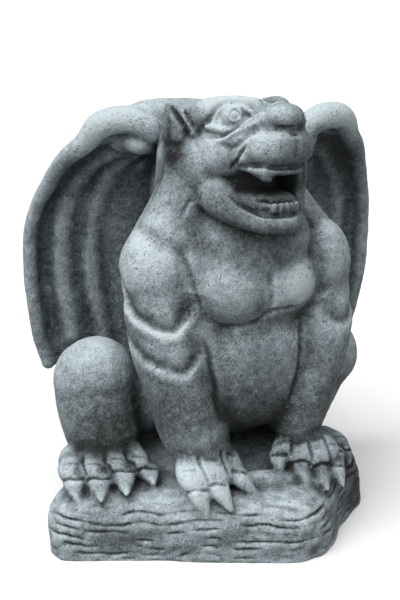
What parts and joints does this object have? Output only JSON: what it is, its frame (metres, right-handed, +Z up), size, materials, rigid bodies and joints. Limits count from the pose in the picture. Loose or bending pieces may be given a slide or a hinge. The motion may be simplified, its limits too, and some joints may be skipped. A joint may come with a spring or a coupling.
{
  "type": "gargoyle statue",
  "caption": "Carved stone gargoyle crouching on a rough rock slab, with a roaring head turned to its left and two folded ribbed wings.",
  "frame": {"origin": "middle of the bounding box at the flat underside", "axes": "+Z up, -Y the way the chest faces, +X the figure's left"},
  "size_m": [0.4099, 0.2934, 0.4515],
  "materials": {
    "stone": "weathered, fine-grained, dark blue-grey with pale worn edges"
  },
  "bodies": {
    "root": {"gargoyle": "stone"}
  },
  "joints": []
}
